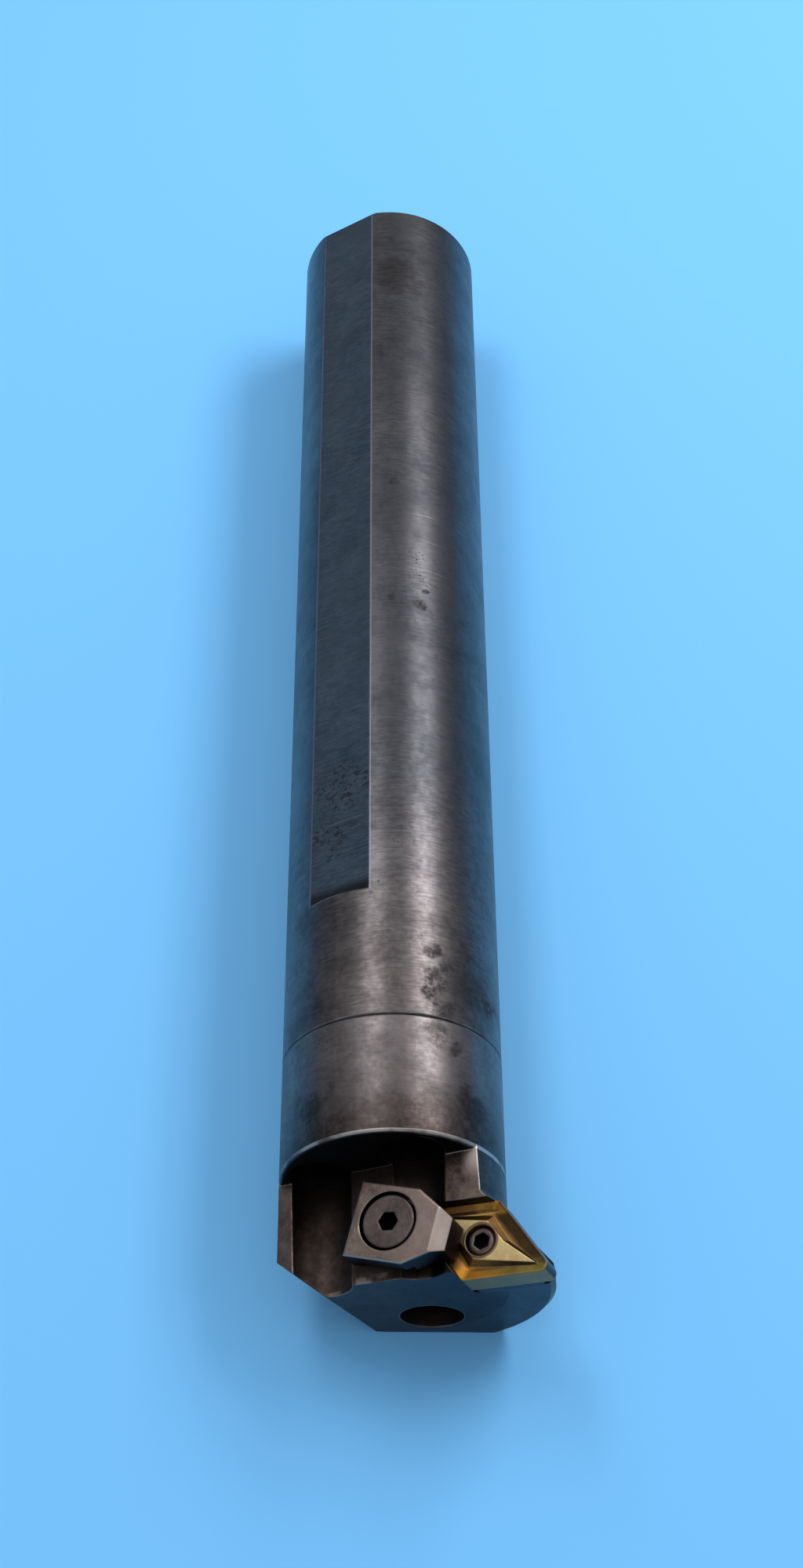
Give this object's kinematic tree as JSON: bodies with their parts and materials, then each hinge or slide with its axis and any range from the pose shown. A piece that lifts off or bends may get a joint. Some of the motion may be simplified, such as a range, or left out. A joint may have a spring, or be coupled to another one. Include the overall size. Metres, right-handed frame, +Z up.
{
  "type": "boring_bar",
  "caption": "Steel boring bar: round flatted shank, bolt-on cutting head with a milled pocket, and a diamond carbide insert on a shim under a top clamp and lock pin.",
  "frame": {"origin": "on the bar's axis, in the joint between the cutting head and the shank", "axes": "+Y along the axis from the cutting end to the far end, +Z up when the bar lies on a table, +X towards the side of the cutting tip"},
  "size_m": [0.0456, 0.2535, 0.0381],
  "materials": {
    "bar_steel": "satin",
    "head_steel": "satin",
    "screw_steel": "satin",
    "pin_steel": "satin",
    "clamp_steel": "satin",
    "coated_carbide": "satin",
    "shim_carbide": "satin"
  },
  "bodies": {
    "bar": {"shank": "bar_steel", "cutting_head": "head_steel", "head_screw_left": "screw_steel", "head_screw_right": "screw_steel", "head_screw_lower": "screw_steel", "shim": "shim_carbide", "insert": "coated_carbide"},
    "clamp_screw": {"clamp_screw": "screw_steel"},
    "clamp": {"clamp": "clamp_steel"},
    "lock_pin": {"lock_pin": "pin_steel"}
  },
  "joints": [
    {"name": "clamp_screw_turn", "type": "hinge", "parent": "bar", "child": "clamp_screw", "pos_m": [0.00182, -0.03356, 0.00506], "axis": [-0.3739, -0.061, 0.9255], "range_deg": [0, 540]},
    {"name": "clamp_lift", "type": "slide", "parent": "bar", "child": "clamp", "axis": [-0.3739, -0.061, 0.9255], "range_m": [0, 0.003]},
    {"name": "lock_pin_turn", "type": "hinge", "parent": "bar", "child": "lock_pin", "pos_m": [0.01408, -0.0367, 0.00981], "axis": [-0.3739, -0.061, 0.9255], "range_deg": [0, 360]}
  ],
  "couplings": [
    {"joint": "clamp_screw_turn", "follows": "clamp_lift", "rad_per_m": 3141.5}
  ]
}
